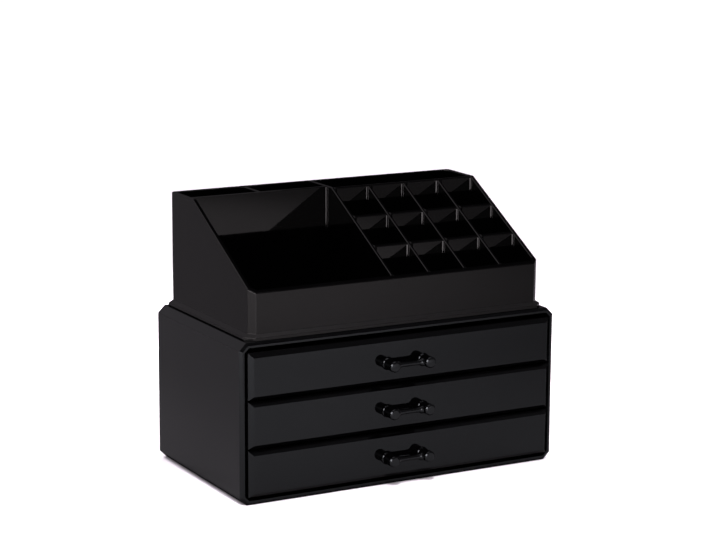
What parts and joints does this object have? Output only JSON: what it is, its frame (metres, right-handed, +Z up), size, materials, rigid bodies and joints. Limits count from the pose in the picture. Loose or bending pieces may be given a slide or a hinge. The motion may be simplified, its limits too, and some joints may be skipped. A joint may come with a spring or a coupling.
{
  "type": "brush holder with drawers",
  "caption": "Low glossy cabinet with stacked drawers on small bridge pulls; a sloping open tray with a brush row, a bay and a slot grid stands on top.",
  "frame": {"origin": "middle of the overall box at the underside of the cabinet, drawer pulls included", "axes": "+Z up, +X to the right as seen by someone facing the drawers, +Y to the back; the drawers open toward -Y"},
  "size_m": [0.24, 0.1454, 0.1877],
  "materials": {
    "black_polystyrene": "moulded, high gloss, black",
    "black_pull": "polished, black",
    "screw_steel": "zinc plated"
  },
  "bodies": {
    "cabinet": {"cabinet_shell": "black_polystyrene", "back_panel": "black_polystyrene", "lower_shelf": "black_polystyrene", "upper_shelf": "black_polystyrene"},
    "bottom_drawer": {"bottom_drawer_tray": "black_polystyrene", "bottom_drawer_front": "black_polystyrene", "bottom_pull_post_left": "black_pull", "bottom_pull_post_right": "black_pull", "bottom_pull_bar": "black_pull", "bottom_pull_screws": "screw_steel"},
    "middle_drawer": {"middle_drawer_tray": "black_polystyrene", "middle_drawer_front": "black_polystyrene", "middle_pull_post_left": "black_pull", "middle_pull_post_right": "black_pull", "middle_pull_bar": "black_pull", "middle_pull_screws": "screw_steel"},
    "top_drawer": {"top_drawer_tray": "black_polystyrene", "top_drawer_front": "black_polystyrene", "top_pull_post_left": "black_pull", "top_pull_post_right": "black_pull", "top_pull_bar": "black_pull", "top_pull_screws": "screw_steel"},
    "organiser": {"organiser_tray": "black_polystyrene", "brush_wall": "black_polystyrene", "brush_divider": "black_polystyrene", "centre_divider": "black_polystyrene", "slot_back_wall": "black_polystyrene", "slot_cross_wall_front": "black_polystyrene", "slot_cross_wall_rear": "black_polystyrene", "slot_divider_left": "black_polystyrene", "slot_divider_middle": "black_polystyrene", "slot_divider_right": "black_polystyrene"}
  },
  "joints": [
    {"name": "bottom_drawer_slide", "type": "slide", "parent": "cabinet", "child": "bottom_drawer", "axis": [0, -1, 0], "range_m": [0, 0.1]},
    {"name": "middle_drawer_slide", "type": "slide", "parent": "cabinet", "child": "middle_drawer", "axis": [0, -1, 0], "range_m": [0, 0.1]},
    {"name": "top_drawer_slide", "type": "slide", "parent": "cabinet", "child": "top_drawer", "axis": [0, -1, 0], "range_m": [0, 0.1]},
    {"name": "organiser_lift", "type": "slide", "parent": "cabinet", "child": "organiser", "axis": [0, 0, 1], "range_m": [0, 0.1]}
  ]
}
